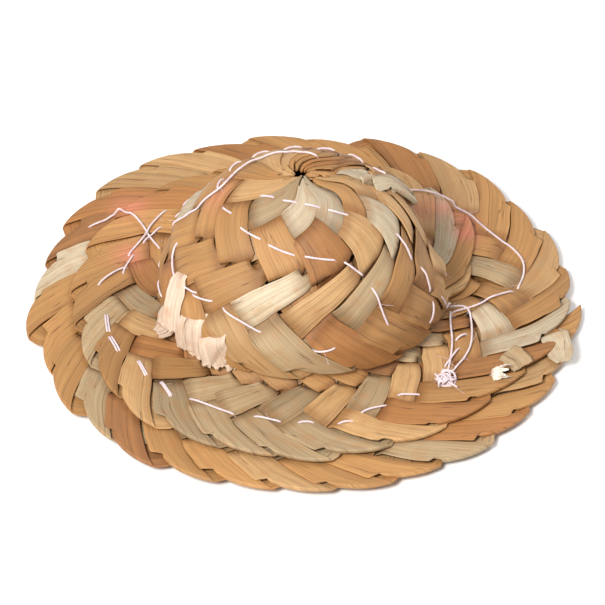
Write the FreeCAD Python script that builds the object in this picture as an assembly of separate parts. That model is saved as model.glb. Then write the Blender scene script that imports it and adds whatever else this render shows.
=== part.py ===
"""Miniature plaited straw hat: one long flat plait of nine leaf strands, wound as a spiral and sewn.

Units are millimetres and degrees. +Z is up, the origin is on the resting plane under the crown.
The plait starts gathered at the top of the crown and winds outward in three turns, counter-clockwise
seen from above: the crown, the inner brim and the brim's edge. Each turn laps over the one outside it.
A place on the hat is given by its turn angle and by its arc length down the hat's outline from the top
of the crown.
"""
import FreeCAD, Part
import bisect
import math
import os

Vector = FreeCAD.Vector

# ---------------------------------------------------------------- driving dimensions
BRIM_RADIUS = 54.85         # middle of the outermost fold
CROWN_RADIUS = 23.3         # middle of the plait on the dome
CROWN_HEIGHT = 36.6         # middle of the plait at the top of the crown
FOOT_RADIUS = 5.0           # hollow round between crown and brim
OVAL = 0.055                # the crown is this much longer along X and shorter along Y

STRANDS = 9                 # leaf strands in the plait
FLOAT = 2                   # strands that each strand passes over, then under
PLAIT_WIDTH = 40.0
LEAF_THICKNESS = 0.3
STRAND_LIFT = 0.5           # middle of an upper strand over the plait's middle, and of a lower one under it
CROWN_STEP = 4.6            # along the plait, from one crossing to the next, on the crown
BRIM_STEP = 5.1             # the same on the brim, where the plait is pulled out longer
LEAF_FILL = 0.86            # a strand's width over the room it has

LAP_RISE = 1.5              # a turn's rise where it lies on the turn outside it
LAP_RUN = 6.0               # length of outline over which it rises

START_ANGLE = -45.0         # where the plait starts, at the right front
TAIL_ANGLE = 45.0           # how far the plait's tail runs on under the finished outer turn
TAIL_FADE = 14.0            # angle over which the turn above the tail comes down again
CELLS_PER_LEAF = 36         # crossings that one leaf is long enough for
LEAF_GAP = 0.04             # gap between the ends of two leaves, in crossings
SHORTEST_LEAF = 4           # a strand's last piece is at least this many crossings long
PLAIT_END = 0.6             # crossings by which a strand stops short of the plait's ends
SECTION_GAP = 0.3           # closest that a leaf's end comes to a section of its bends

THREAD_RADIUS = 0.22
THREAD_SIDES = 6

# ---------------------------------------------------------------- outline of the hat
HALF_PLAIT = STRAND_LIFT + LEAF_THICKNESS / 2
DOME_CENTRE = CROWN_HEIGHT - CROWN_RADIUS
DOME_ARC = CROWN_RADIUS * math.pi / 2
WALL_ARC = DOME_ARC + DOME_CENTRE - (HALF_PLAIT + FOOT_RADIUS)
FOOT_ARC = WALL_ARC + FOOT_RADIUS * math.pi / 2
FOOT_EDGE = CROWN_RADIUS + FOOT_RADIUS
EDGE_ARC = FOOT_ARC + BRIM_RADIUS - FOOT_EDGE
BRIM_INNER_ARC = EDGE_ARC - 8.5
OVAL_FADE = 12.0            # length of brim over which the oval becomes round


# Inner and outer edge of the plait when each turn has settled, as arc lengths.
EDGES = [
    (0.8, 17.0),                                      # gathered start at the top of the crown
    (1.3, 45.0),                                      # crown
    (BRIM_INNER_ARC - PLAIT_WIDTH, BRIM_INNER_ARC),   # inner brim
    (EDGE_ARC - PLAIT_WIDTH, EDGE_ARC),               # brim edge
]
SETTLE = [150.0, 120.0, 60.0]                         # angle over which each turn moves outward
TURN_NAMES = ["crown", "brim_inner", "brim_edge"]
END_ANGLE = START_ANGLE + 360.0 * len(TURN_NAMES) + TAIL_ANGLE


def clamp(value):
    return max(0.0, min(1.0, value))


def ease(value):
    """0 to 1 with a flat start and end."""
    t = clamp(value)
    return t * t * t * (t * (6.0 * t - 15.0) + 10.0)


def mix(low, high, share):
    return low + (high - low) * share


def outline(arc):
    """Radius, height and outward normal of the hat's outline at an arc length."""
    if arc <= DOME_ARC:
        polar = arc / CROWN_RADIUS
        sine, cosine = math.sin(polar), math.cos(polar)
        return CROWN_RADIUS * sine, DOME_CENTRE + CROWN_RADIUS * cosine, sine, cosine
    if arc <= WALL_ARC:
        return CROWN_RADIUS, DOME_CENTRE - (arc - DOME_ARC), 1.0, 0.0
    if arc <= FOOT_ARC:
        turn = (arc - WALL_ARC) / FOOT_RADIUS
        sine, cosine = math.sin(turn), math.cos(turn)
        radius = FOOT_EDGE - FOOT_RADIUS * cosine
        return radius, HALF_PLAIT + FOOT_RADIUS * (1.0 - sine), cosine, sine
    return FOOT_EDGE + arc - FOOT_ARC, HALF_PLAIT, 0.0, 1.0


def plait_edges(angle):
    """Inner and outer edge of the plait at a turn angle."""
    along = angle - START_ANGLE
    turn = int(along // 360.0)
    if turn >= len(SETTLE):
        return EDGES[-1]
    share = ease((along - 360.0 * turn) / SETTLE[turn])
    before, after = EDGES[turn], EDGES[turn + 1]
    return mix(before[0], after[0], share), mix(before[1], after[1], share)


def lap_height(angle, arc):
    """How far the turns underneath lift the plait at a place."""
    below = angle + 360.0
    if below > END_ANGLE + TAIL_FADE:
        return 0.0
    inner = plait_edges(below)[0]
    rise = ease((arc - inner + LAP_RUN) / LAP_RUN)
    if rise == 0.0:
        return 0.0
    present = 1.0 - ease((below - END_ANGLE) / TAIL_FADE)
    return (lap_height(below, arc) + LAP_RISE) * rise * present


def hat_point(angle, arc, height, outward=0.0):
    """A point at a height over the plait's middle, moved outward along the outline if wanted."""
    radius, up, normal_out, normal_up = outline(arc)
    lift = lap_height(angle, arc) + height
    radius += normal_out * lift + normal_up * outward
    up += normal_up * lift - normal_out * outward
    oval = OVAL * (1.0 - ease((arc - FOOT_ARC) / OVAL_FADE))
    turn = math.radians(angle)
    return Vector(radius * (1.0 + oval) * math.cos(turn), radius * (1.0 - oval) * math.sin(turn), up)


# ---------------------------------------------------------------- crossings along the plait
REFERENCE = 0.8             # crossings are evenly spaced this far across the plait
ANGLE_STEP = 1.0
GATHER = 38.0               # most that gathering the crown's top turns a crossing round the hat
GATHER_AWAY = 40.0          # angle towards which the crossings are gathered, at the right back
GATHER_ARC = 10.0           # where the gathering turns them most
GATHER_END = 34.0


def crossing_table():
    """Turn angles, and the number of crossings up to each."""
    angles, counts = [START_ANGLE], [0.0]
    while angles[-1] < END_ANGLE:
        angle = angles[-1] + ANGLE_STEP / 2
        inner, outer = plait_edges(angle)
        arc = mix(inner, outer, REFERENCE)
        step = mix(CROWN_STEP, BRIM_STEP, ease((arc - DOME_ARC) / (EDGE_ARC - DOME_ARC)))
        length = outline(arc)[0] * math.radians(ANGLE_STEP)
        angles.append(angles[-1] + ANGLE_STEP)
        counts.append(counts[-1] + length / step)
    return angles, counts


ANGLES, COUNTS = crossing_table()
CELLS = COUNTS[-1]


def angle_at(count):
    """Turn angle at a number of crossings along the plait."""
    place = max(1, min(len(COUNTS) - 1, bisect.bisect(COUNTS, count)))
    share = (count - COUNTS[place - 1]) / (COUNTS[place] - COUNTS[place - 1])
    return mix(ANGLES[place - 1], ANGLES[place], share)


def gathered(angle, arc):
    """Turn angle of a crossing once the thread has gathered the top of the crown."""
    share = ease(arc / GATHER_ARC) * (1.0 - ease((arc - GATHER_ARC) / (GATHER_END - GATHER_ARC)))
    return angle - GATHER * share * math.sin(math.radians(angle - GATHER_AWAY))


HALF_ROWS = STRANDS / 2     # rows of crossings from the plait's middle to its edge


def plait_point(count, row, height, outward=0.0):
    """A point on a strand. Beyond the plait's edge the row is folded back into the plait."""
    wave = (row + HALF_ROWS) % (2 * STRANDS)
    inside = min(wave, 2 * STRANDS - wave)
    angle = angle_at(count)
    inner, outer = plait_edges(angle)
    arc = mix(inner, outer, inside / STRANDS)
    side = 1.0 if inside > HALF_ROWS else -1.0
    return hat_point(gathered(angle, arc), arc, height, outward * side)


# ---------------------------------------------------------------- solids
def triangle(a, b, c):
    return Part.Face(Part.makePolygon([a, b, c, a]))


def loft(rings):
    """A closed solid through rings of points, with flat triangles between them.

    The two faces of a thin strip are cut along the same diagonal, so they stay parallel where it twists.
    """
    faces = []
    size = len(rings[0])
    for ring, after in zip(rings, rings[1:]):
        for i in range(size):
            j = (i + 1) % size
            if 2 * i < size:
                faces.append(triangle(ring[i], ring[j], after[j]))
                faces.append(triangle(ring[i], after[j], after[i]))
            else:
                faces.append(triangle(ring[i], ring[j], after[i]))
                faces.append(triangle(ring[j], after[j], after[i]))
    for ring in (rings[0], rings[-1]):
        for i in range(1, size - 1):
            faces.append(triangle(ring[0], ring[i], ring[i + 1]))
    solid = Part.Solid(Part.Shell(faces))
    if solid.Volume < 0:
        solid.reverse()
    merged = solid.removeSplitter()
    return merged if merged.isValid() else solid


# ---------------------------------------------------------------- leaf strands
FOLD_RUN = 0.08             # rows over which a strand turns round at the plait's edge
RAMP = 0.15                 # rows over which a strand changes level, each side of a change
UNDER, OVER = -STRAND_LIFT, STRAND_LIFT
LAST_CROSSING = HALF_ROWS - 0.5


def level_at(row):
    """Level of a strand over the plait's middle: it runs under two strands, over two, and so on."""
    inside = (row + HALF_ROWS) % STRANDS - HALF_ROWS
    crossed = max(-LAST_CROSSING, min(LAST_CROSSING - RAMP, inside)) + LAST_CROSSING
    return OVER if int(crossed // FLOAT) % 2 else UNDER


def strand_sections():
    """Sections of a strand over the rows from one fold to the next.

    Each is its row, whether it lies along the fold, its level, and how far the strand has turned over.
    """
    sections = []
    for zone in range(round(2 * LAST_CROSSING / FLOAT)):
        start = zone * FLOAT - LAST_CROSSING
        for row in (start + RAMP, start + FLOAT / 2, start + FLOAT - RAMP):
            sections.append((row, False, level_at(row), 0.0))
    sections.append((HALF_ROWS - FOLD_RUN, True, OVER, 0.0))
    sections.append((HALF_ROWS, True, 0.0, 90.0))
    sections.append((HALF_ROWS + FOLD_RUN, True, UNDER, 180.0))
    return sections


SECTIONS = strand_sections()
LEAF_JOIN_ROW = FLOAT / 2 - LAST_CROSSING   # leaves end here, hidden under the strands that cross


def leaf_section(strand, row, along_fold, level, turned, face):
    """Four corners of a strand's section. face is 1 or -1 and flips at each fold."""
    corners = []
    half = LEAF_FILL / 2
    for side, skin in ((-half, 1), (half, 1), (half, -1), (-half, -1)):
        shift_along = 2 * side if along_fold else side
        shift_row = 0.0 if along_fold else -side
        count = row + 2 * strand + shift_along
        offset = face * skin * LEAF_THICKNESS / 2
        height = level + offset * math.cos(math.radians(turned))
        outward = offset * math.sin(math.radians(turned))
        corners.append(plait_point(count, row + shift_row, height, outward))
    return corners


def leaf(strand, first_row, last_row):
    """One leaf of a strand, between two rows counted along the strand without folding back."""
    rings = []
    fold = math.floor((first_row + HALF_ROWS) / STRANDS)
    face = 1 if fold % 2 == 0 else -1
    first = (first_row, False, level_at(first_row), 0.0)
    last = (last_row, False, level_at(last_row), 0.0)
    rings.append(leaf_section(strand, *first, face))
    while fold * STRANDS - HALF_ROWS < last_row:
        for row, along_fold, level, turned in SECTIONS:
            place = row + fold * STRANDS
            if first_row + SECTION_GAP < place < last_row - SECTION_GAP:
                rings.append(leaf_section(strand, place, along_fold, level, turned, face))
        fold += 1
        face = -face
    face = 1 if math.floor((last_row + HALF_ROWS) / STRANDS) % 2 == 0 else -1
    rings.append(leaf_section(strand, *last, face))
    return loft(rings)


def leaf_ends(strand):
    """Rows where one strand's leaves join. Neighbouring strands join at different places."""
    first = PLAIT_END - 2 * strand
    last = CELLS - 2 * strand - PLAIT_END
    joins = []
    lead = STRANDS * round(2 * strand * CELLS_PER_LEAF / STRANDS ** 2)
    row = LEAF_JOIN_ROW - 2 * CELLS_PER_LEAF + lead
    while row < last - SHORTEST_LEAF:
        if row > first + SHORTEST_LEAF:
            joins.append(row)
        row += CELLS_PER_LEAF
    return [first] + joins + [last]


def turn_name(count):
    turn = int((angle_at(count) - START_ANGLE) // 360.0)
    return TURN_NAMES[min(turn, len(TURN_NAMES) - 1)]


def all_leaves():
    """Every leaf as (first crossing, strand, first row, last row), in order along the plait."""
    found = []
    for strand in range(STRANDS):
        ends = leaf_ends(strand)
        for first, last in zip(ends, ends[1:]):
            found.append((first + 2 * strand, strand, first + LEAF_GAP / 2, last - LEAF_GAP / 2))
    return sorted(found)


def make_leaves():
    nodes = {}
    numbers = {}
    for count, strand, first, last in all_leaves():
        turn = turn_name(count + (last - first) / 2)
        numbers[turn] = numbers.get(turn, 0) + 1
        nodes[f"{turn}_leaf_{numbers[turn]}"] = leaf(strand, first, last)
    return nodes


# ---------------------------------------------------------------- sewing thread
THREAD_SPACING = 3.0        # between points along a thread
STITCH_ARCH = [(0.0, -0.1), (0.15, 0.1), (0.5, 0.2), (0.85, 0.1), (1.0, -0.1)]
KNOT_RADIUS = 1.1

# Threads are placed by angle round the hat and arc length down its outline.
CROWN_TOP_STITCHES = [
    ((-150, 9.5), (-128, 8)), ((-120, 8), (-95, 8)), ((-90, 8), (-68, 9.5)), ((-64, 10), (-46, 13)),
    ((-166, 16.5), (-152, 15.5)), ((-140, 16.5), (-118, 17)), ((-114, 17.5), (-94, 19)),
    ((-90, 19), (-70, 20.5)), ((-66, 21), (-57, 25)),
]
CROWN_SIDE_STITCHES = [
    ((-146, 33), (-132, 31.5)), ((-128, 32), (-107, 34.5)), ((-86, 37.5), (-76, 37)),
    ((-56, 27), (-52, 36)), ((-24, 21), (-24, 28.5)), ((-23, 29.5), (-22, 36)), ((-23, 37), (-28, 42)),
]
BRIM_STITCHES = [
    ((-166, 63.5), (-158, 63)), ((-152, 60.5), (-144, 61.5)), ((-140, 60), (-132, 62)),
    ((-128, 60), (-111, 60)), ((-106, 59.5), (-96, 60)), ((-92, 60), (-86, 60)),
    ((-80, 61), (-74, 61)), ((-72, 59), (-62, 59)), ((-58, 57.5), (-50, 60)),
]
BACK_SEAMS = [(17.0, 20, 160, 24), (40.0, 0, 200, 20), (61.0, 60, 110, 15)]
LEFT_ZIGZAG = [
    [(150, 74), (142, 68), (146, 60), (147, 56.5)],
    [(133, 63.5), (142, 62.5), (148, 60.5), (164, 60), (172, 65.5)],
    [(129, 62.5), (116, 63)],
]
RIGHT_FLOAT = [
    [(61, 64), (50, 67), (40, 68), (32, 68), (18, 70), (8, 67)],
    [(7, 66.5), (2, 61), (-2, 56.5), (-5, 52)],
]
RIGHT_TANGLE = [
    [(-16, 38.5), (-8, 45), (-3, 51), (-3, 55), (-14, 57.5), (-24, 59.5), (-36, 60), (-41, 60.5)],
    [(-3, 51.5), (-16, 53), (-28, 56), (-39, 60)],
    [(-16, 57), (-22, 55)],
    [(-24, 57), (-36, 57.5)],
]
CROWN_DRAPE = [
    [(172, 30), (176, 24), (176, 16), (155, 12.5), (134, 10.5), (100, 8), (64, 7)],
    [(-172, 28), (-165, 31), (-156, 32.5), (-142, 32)],
]
KNOT_PLACE = (-41, 60.5)


def between(first, last, share):
    """The place a share of the way from one place to another, the short way round the hat."""
    turn = (last[0] - first[0] + 180.0) % 360.0 - 180.0
    return first[0] + turn * share, mix(first[1], last[1], share)


def surface_point(angle, arc, lift):
    """A point over whichever turn lies uppermost there."""
    place = START_ANGLE + (angle - START_ANGLE) % 360.0
    while place + 360.0 <= END_ANGLE and arc > plait_edges(place)[1]:
        place += 360.0
    return hat_point(place, arc, HALF_PLAIT + lift)


def side_directions(point, after, over):
    """Across and up, for a piece that runs from one point to the next. over is a point above."""
    along = after.sub(point).normalize()
    across = along.cross(over.sub(point)).normalize()
    return across, across.cross(along).normalize()


def tube(points):
    """A thread of round section through points."""
    rings = []
    for i, point in enumerate(points):
        before, after = points[max(i - 1, 0)], points[min(i + 1, len(points) - 1)]
        outward = Vector(point.x, point.y, CROWN_HEIGHT)
        across, up = side_directions(before, after, before.add(outward))
        ring = []
        for k in range(THREAD_SIDES):
            turn = 2 * math.pi * k / THREAD_SIDES
            ring.append(point.add(across * (THREAD_RADIUS * math.cos(turn)))
                        .add(up * (THREAD_RADIUS * math.sin(turn))))
        rings.append(ring)
    return loft(rings)


def stitch(first, last):
    """One stitch that arches over the surface between two places."""
    points = []
    for share, lift in STITCH_ARCH:
        points.append(surface_point(*between(first, last, share), THREAD_RADIUS + lift))
    return tube(points)


def draped_thread(route):
    """A thread that lies on the surface through a list of places."""
    points = []
    for first, last in zip(route, route[1:]):
        start, end = surface_point(*first, THREAD_RADIUS), surface_point(*last, THREAD_RADIUS)
        pieces = max(1, round(end.sub(start).Length / THREAD_SPACING))
        for i in range(pieces):
            points.append(surface_point(*between(first, last, i / pieces), THREAD_RADIUS))
    points.append(surface_point(*route[-1], THREAD_RADIUS))
    return tube(points)


def seam(arc, start, length, count):
    """Evenly spaced stitches along one turn, each longer than the gap after it."""
    pitch = length / count
    return [((start + i * pitch, arc), (start + (i + 0.7) * pitch, arc)) for i in range(count)]


def make_threads():
    top_back, side_back, brim_back = [seam(arc, start, length, round(length / pitch))
                                      for arc, start, length, pitch in BACK_SEAMS]
    group = Part.makeCompound
    knot = Part.makeSphere(KNOT_RADIUS, surface_point(*KNOT_PLACE, KNOT_RADIUS))
    return {
        "crown_top_stitches": group([stitch(*ends) for ends in CROWN_TOP_STITCHES + top_back]),
        "crown_side_stitches": group([stitch(*ends) for ends in CROWN_SIDE_STITCHES + side_back]),
        "brim_stitches": group([stitch(*ends) for ends in BRIM_STITCHES + brim_back]),
        "left_zigzag_thread": group([draped_thread(route) for route in LEFT_ZIGZAG]),
        "right_float_thread": group([draped_thread(route) for route in RIGHT_FLOAT]),
        "right_tangled_thread": group([draped_thread(route) for route in RIGHT_TANGLE]),
        "crown_draped_thread": group([draped_thread(route) for route in CROWN_DRAPE]),
        "thread_knot": knot,
    }


# ---------------------------------------------------------------- loose leaf ends
TIP_SHAPE = [(0.0, 1.0, 0.0), (0.3, 1.05, 0.25), (0.6, 0.95, 0.6), (0.85, 0.7, 0.9), (1.0, 0.3, 1.0)]
TIP_CLEARANCE = 0.2         # between a loose end and the plait under it

# Root place, tip place, width and how far the tip stands off.
LEFT_TIPS = [
    ((-157, 29), (-148, 42), 3.4, 1.4), ((-164, 40), (-159, 54), 3.0, 1.2), ((-141, 34), (-140, 51), 5.0, 1.0),
]
CRUMPLED_END = ((-130, 36), (-123, 51), 5.5, 0.8)
RIGHT_TIP = ((-7, 73.5), (-16, 78), 4.5, 0.5)
CUT_ENDS = [((-20, 66), (-24, 72), 4.0, 0.4), ((-31, 67), (-28, 71), 2.6, 0.8)]


def loose_end(root, tip, width, rise):
    """A flat tapered leaf end that lies on the surface and lifts towards its tip."""
    lifts = [TIP_CLEARANCE + LEAF_THICKNESS / 2 + rise * lift for _, _, lift in TIP_SHAPE]
    places = [between(root, tip, share) for share, _, _ in TIP_SHAPE]
    points = [surface_point(*place, lift) for place, lift in zip(places, lifts)]
    rings = []
    for i, (_, size, _) in enumerate(TIP_SHAPE):
        point, before, after = points[i], points[max(i - 1, 0)], points[min(i + 1, len(points) - 1)]
        upward = surface_point(*places[i], lifts[i] + 1.0).sub(point)
        across, up = side_directions(before, after, before.add(upward))
        side, skin = across * (width * size / 2), up * (LEAF_THICKNESS / 2)
        rings.append([point.sub(side).add(skin), point.add(side).add(skin),
                      point.add(side).sub(skin), point.sub(side).sub(skin)])
    return loft(rings)


def make_loose_ends():
    return {
        "left_loose_leaf_ends": Part.makeCompound([loose_end(*end) for end in LEFT_TIPS]),
        "crumpled_leaf_end": loose_end(*CRUMPLED_END),
        "right_loose_leaf_end": loose_end(*RIGHT_TIP),
        "cut_leaf_ends": Part.makeCompound([loose_end(*end) for end in CUT_ENDS]),
    }


# ---------------------------------------------------------------- writing the parts
def main():
    os.makedirs("parts", exist_ok=True)
    for name, shape in {**make_leaves(), **make_threads(), **make_loose_ends()}.items():
        shape.exportStep(f"parts/{name}.step")


main()
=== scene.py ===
"""Looks of the miniature plaited straw hat: leaf strands, sewing thread, loose leaf ends and studio.

Lengths on the hat are in millimetres and angles in degrees, until a mesh is made in metres. The materials'
and the studio's lengths are in metres. A place on the hat is its turn angle, which goes on growing from
turn to turn of the spiral, and its arc length down the hat's outline from the top of the crown, as in
the CAD model. Along the plait, places are counted in crossings; across it, in rows from -4.5 to 4.5.
"""
import math

import bpy
import numpy as np
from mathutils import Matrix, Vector
from mathutils.bvhtree import BVHTree


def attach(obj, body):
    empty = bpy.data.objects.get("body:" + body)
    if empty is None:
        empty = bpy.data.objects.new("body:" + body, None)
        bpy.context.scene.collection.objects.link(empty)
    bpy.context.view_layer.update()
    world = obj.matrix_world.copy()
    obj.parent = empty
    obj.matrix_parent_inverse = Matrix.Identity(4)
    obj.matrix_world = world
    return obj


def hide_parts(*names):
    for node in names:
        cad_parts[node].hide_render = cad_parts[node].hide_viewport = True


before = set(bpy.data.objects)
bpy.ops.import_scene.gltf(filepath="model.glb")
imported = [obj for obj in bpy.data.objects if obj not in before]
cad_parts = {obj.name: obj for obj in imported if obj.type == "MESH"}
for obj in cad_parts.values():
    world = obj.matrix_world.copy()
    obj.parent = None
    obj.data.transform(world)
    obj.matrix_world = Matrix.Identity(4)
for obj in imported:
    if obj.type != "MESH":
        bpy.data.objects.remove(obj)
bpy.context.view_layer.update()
BODY = "root"
METRES = 0.001

# -------- the CAD model's dimensions
BRIM_RADIUS = 54.85  # middle of the outermost fold
CROWN_RADIUS = 23.3  # middle of the plait on the dome
CROWN_HEIGHT = 36.6  # middle of the plait at the top of the crown
FOOT_RADIUS = 5.0  # hollow round between crown and brim
OVAL = 0.055  # the crown is this much longer along X and shorter along Y
OVAL_FADE = 12.0  # length of brim over which the oval becomes round

STRANDS = 9
FLOAT = 2  # strands that each strand passes over, then under
PLAIT_WIDTH = 40.0
LEAF_THICKNESS = 0.3
STRAND_LIFT = 0.5  # middle of an upper strand over the plait's middle, and of a lower one under it
CROWN_STEP = 4.6  # along the plait, from one crossing to the next, on the crown
BRIM_STEP = 5.1  # the same on the brim
LAP_RISE = 1.5  # a turn's rise where it lies on the turn outside it
LAP_RUN = 6.0  # length of outline over which it rises
START_ANGLE = -45.0  # where the plait starts, at the right front
TAIL_ANGLE = 45.0  # how far the plait's tail runs on under the outer turn
TAIL_FADE = 14.0  # angle over which the turn above the tail comes down again
CELLS_PER_LEAF = 36  # crossings that one leaf is long enough for
LEAF_GAP = 0.04  # gap between the ends of two leaves, in crossings
SHORTEST_LEAF = 4  # least crossings in a strand's last piece
PLAIT_END = 0.6  # crossings by which a strand stops short of the plait's ends
REFERENCE = 0.8  # crossings are evenly spaced this far across the plait
GATHER = 38.0  # most that gathering the crown's top turns a crossing round the hat
GATHER_AWAY = 40.0  # angle towards which the crossings are gathered, at the right back
GATHER_ARC = 10.0  # where the gathering turns them most
GATHER_END = 34.0  # where it ends

HALF_ROWS = STRANDS / 2
LEAF_JOIN_ROW = FLOAT / 2 + 0.5 - HALF_ROWS  # under another strand
HALF_PLAIT = STRAND_LIFT + LEAF_THICKNESS / 2
DOME_CENTRE = CROWN_HEIGHT - CROWN_RADIUS
DOME_ARC = CROWN_RADIUS * math.pi / 2
WALL_ARC = DOME_ARC + DOME_CENTRE - (HALF_PLAIT + FOOT_RADIUS)
FOOT_ARC = WALL_ARC + FOOT_RADIUS * math.pi / 2
FOOT_EDGE = CROWN_RADIUS + FOOT_RADIUS
EDGE_ARC = FOOT_ARC + BRIM_RADIUS - FOOT_EDGE
BRIM_INNER_ARC = EDGE_ARC - 8.5

# Inner and outer edge of the plait when each turn has settled, as arc lengths.
EDGES = np.array([
    (0.8, 17.0),  # gathered start at the top of the crown
    (1.3, 45.0),  # crown
    (BRIM_INNER_ARC - PLAIT_WIDTH, BRIM_INNER_ARC),  # inner brim
    (EDGE_ARC - PLAIT_WIDTH, EDGE_ARC),  # brim edge
])
SETTLE = np.array([150.0, 120.0, 60.0])  # angle over which each turn moves outward
TURN_NAMES = ["crown", "brim_inner", "brim_edge"]
END_ANGLE = START_ANGLE + 360.0 * len(TURN_NAMES) + TAIL_ANGLE


def ease(value):
    """0 to 1 with a flat start and end."""
    t = np.clip(value, 0.0, 1.0)
    return t * t * t * (t * (6.0 * t - 15.0) + 10.0)


def mix(low, high, share):
    return low + (high - low) * share


def outline(arc):
    """Radius, height and outward normal of the hat's outline at arc lengths."""
    polar = np.clip(arc, 0.0, DOME_ARC) / CROWN_RADIUS
    turn = np.clip(arc - WALL_ARC, 0.0, FOOT_ARC - WALL_ARC) / FOOT_RADIUS
    wall = np.clip(arc, DOME_ARC, WALL_ARC) - DOME_ARC
    flat = np.maximum(arc - FOOT_ARC, 0.0)
    radius = CROWN_RADIUS * np.sin(polar) + FOOT_RADIUS * (1.0 - np.cos(turn)) + flat
    height = DOME_CENTRE + CROWN_RADIUS * np.cos(polar) - wall - FOOT_RADIUS * np.sin(turn)
    normal_out = np.where(arc <= WALL_ARC, np.sin(polar), np.cos(turn))
    normal_up = np.where(arc <= WALL_ARC, np.cos(polar), np.sin(turn))
    return radius, height, normal_out, normal_up


def plait_edges(angle):
    """Inner and outer edge of the plait at turn angles, as arc lengths."""
    along = angle - START_ANGLE
    turn = np.clip(np.floor(along / 360.0), 0, len(EDGES) - 1).astype(int)
    settle = SETTLE[np.minimum(turn, len(SETTLE) - 1)]
    share = ease((along - 360.0 * turn) / settle)
    before, after = EDGES[turn], EDGES[np.minimum(turn + 1, len(EDGES) - 1)]
    return mix(before[..., 0], after[..., 0], share), mix(before[..., 1], after[..., 1], share)


def lap_height(angle, arc):
    """How far the turns underneath lift the plait at places."""
    below = angle + 360.0
    rise = ease((arc - plait_edges(below)[0] + LAP_RUN) / LAP_RUN)
    lifted = rise * (1.0 - ease((below - END_ANGLE) / TAIL_FADE))
    if not lifted.any():
        return lifted
    return (lap_height(below, arc) + LAP_RISE) * lifted


# -------- unevenness of a hand-made hat
BRIM_SAG = 0.7  # how far the brim waves up and down at its edge
BRIM_RAISE = 1.2  # times the sag, so that its lowest place still rests on the table
RIM_SWAY = 0.6  # how far the rim waves in and out
BASE_LIFT = 0.2  # for the ribs and bulges under the plait
SAG_WAVES, SWAY_WAVES = (5, 2), (3, 3)  # seed, and waves round the hat
PACE_SPREAD = 0.15


def waves(seed, place, period):
    """Smooth unevenness between about -1 and 1, with waves of about the given period and shorter ones."""
    rng = np.random.default_rng(seed)
    total = np.zeros(np.shape(place))
    for size, pace in ((0.5, 1.0), (0.35, 1.9), (0.25, 3.3)):
        pace *= rng.uniform(1.0 - PACE_SPREAD, 1.0 + PACE_SPREAD)
        total += size * np.sin(2 * np.pi * (place * pace / period + rng.random()))
    return total


def round_waves(seed, count, angle):
    """The same round the hat, closing on itself: count waves in a full turn, and some shorter ones."""
    rng = np.random.default_rng(seed)
    total = np.zeros(np.shape(angle))
    for size, times in ((0.55, count), (0.3, count + 2), (0.25, 2 * count + 1)):
        total += size * np.sin(np.radians(angle) * times + rng.uniform(0, 2 * np.pi))
    return total


def hat_point(angle, arc, height):
    """Points at heights over the plait's middle, with the brim's waviness."""
    radius, up, normal_out, normal_up = outline(arc)
    lift = lap_height(angle, arc) + height
    brim = ease((arc - WALL_ARC) / (EDGE_ARC - WALL_ARC))
    sag = BRIM_SAG * (BRIM_RAISE + round_waves(*SAG_WAVES, angle))
    radius = radius + normal_out * lift + brim * RIM_SWAY * round_waves(*SWAY_WAVES, angle)
    up = up + normal_up * lift + BASE_LIFT + brim * sag
    oval = OVAL * (1.0 - ease((arc - FOOT_ARC) / OVAL_FADE))
    turn = np.radians(angle)
    x = radius * (1.0 + oval) * np.cos(turn)
    y = radius * (1.0 - oval) * np.sin(turn)
    return np.stack([x, y, up], axis=-1)


def hat_normal(angle, arc):
    """Outward directions of the hat's smooth outline."""
    _, _, normal_out, normal_up = outline(arc)
    turn = np.radians(angle)
    return np.stack([normal_out * np.cos(turn), normal_out * np.sin(turn), normal_up], axis=-1)


# -------- crossings along the plait
TABLE_MARGIN = 10.0  # turned on past both ends of the plait


def crossing_table():
    """Turn angles one degree apart, and the number of crossings up to each."""
    angles = np.arange(START_ANGLE - TABLE_MARGIN, END_ANGLE + TABLE_MARGIN + 0.5)
    inner, outer = plait_edges(angles[:-1] + 0.5)
    arc = mix(inner, outer, REFERENCE)
    step = mix(CROWN_STEP, BRIM_STEP, ease((arc - DOME_ARC) / (EDGE_ARC - DOME_ARC)))
    counts = np.concatenate([[0.0], np.cumsum(outline(arc)[0] * np.radians(1.0) / step)])
    return angles, counts - np.interp(START_ANGLE, angles, counts)


ANGLES, COUNTS = crossing_table()
CELLS = float(np.interp(END_ANGLE, ANGLES, COUNTS))


def angle_at(count):
    return np.interp(count, COUNTS, ANGLES)


def gathered(angle, arc):
    """Turn angle of a crossing once the thread has gathered the top of the crown."""
    share = ease(arc / GATHER_ARC) * (1.0 - ease((arc - GATHER_ARC) / (GATHER_END - GATHER_ARC)))
    return angle - GATHER * share * np.sin(np.radians(angle - GATHER_AWAY))


def leaf_ends(strand):
    """Rows where one strand's leaves join, as in the CAD model."""
    first = PLAIT_END - 2 * strand
    last = CELLS - 2 * strand - PLAIT_END
    lead = STRANDS * round(2 * strand * CELLS_PER_LEAF / STRANDS ** 2)
    row = LEAF_JOIN_ROW - 2 * CELLS_PER_LEAF + lead
    joins = []
    while row < last - SHORTEST_LEAF:
        if row > first + SHORTEST_LEAF:
            joins.append(row)
        row += CELLS_PER_LEAF
    return [first] + joins + [last]


def all_leaves():
    """Every leaf as (node name, strand, first row, last row)."""
    found = []
    for strand in range(STRANDS):
        ends = leaf_ends(strand)
        for first, last in zip(ends, ends[1:]):
            found.append((first + 2 * strand, strand, first + LEAF_GAP / 2, last - LEAF_GAP / 2))
    named, numbers = [], {}
    for count, strand, first, last in sorted(found):
        turn = int((angle_at(count + (last - first) / 2) - START_ANGLE) // 360.0)
        name = TURN_NAMES[min(turn, len(TURN_NAMES) - 1)]
        numbers[name] = numbers.get(name, 0) + 1
        named.append((f"{name}_leaf_{numbers[name]}", strand, first, last))
    return named


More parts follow.
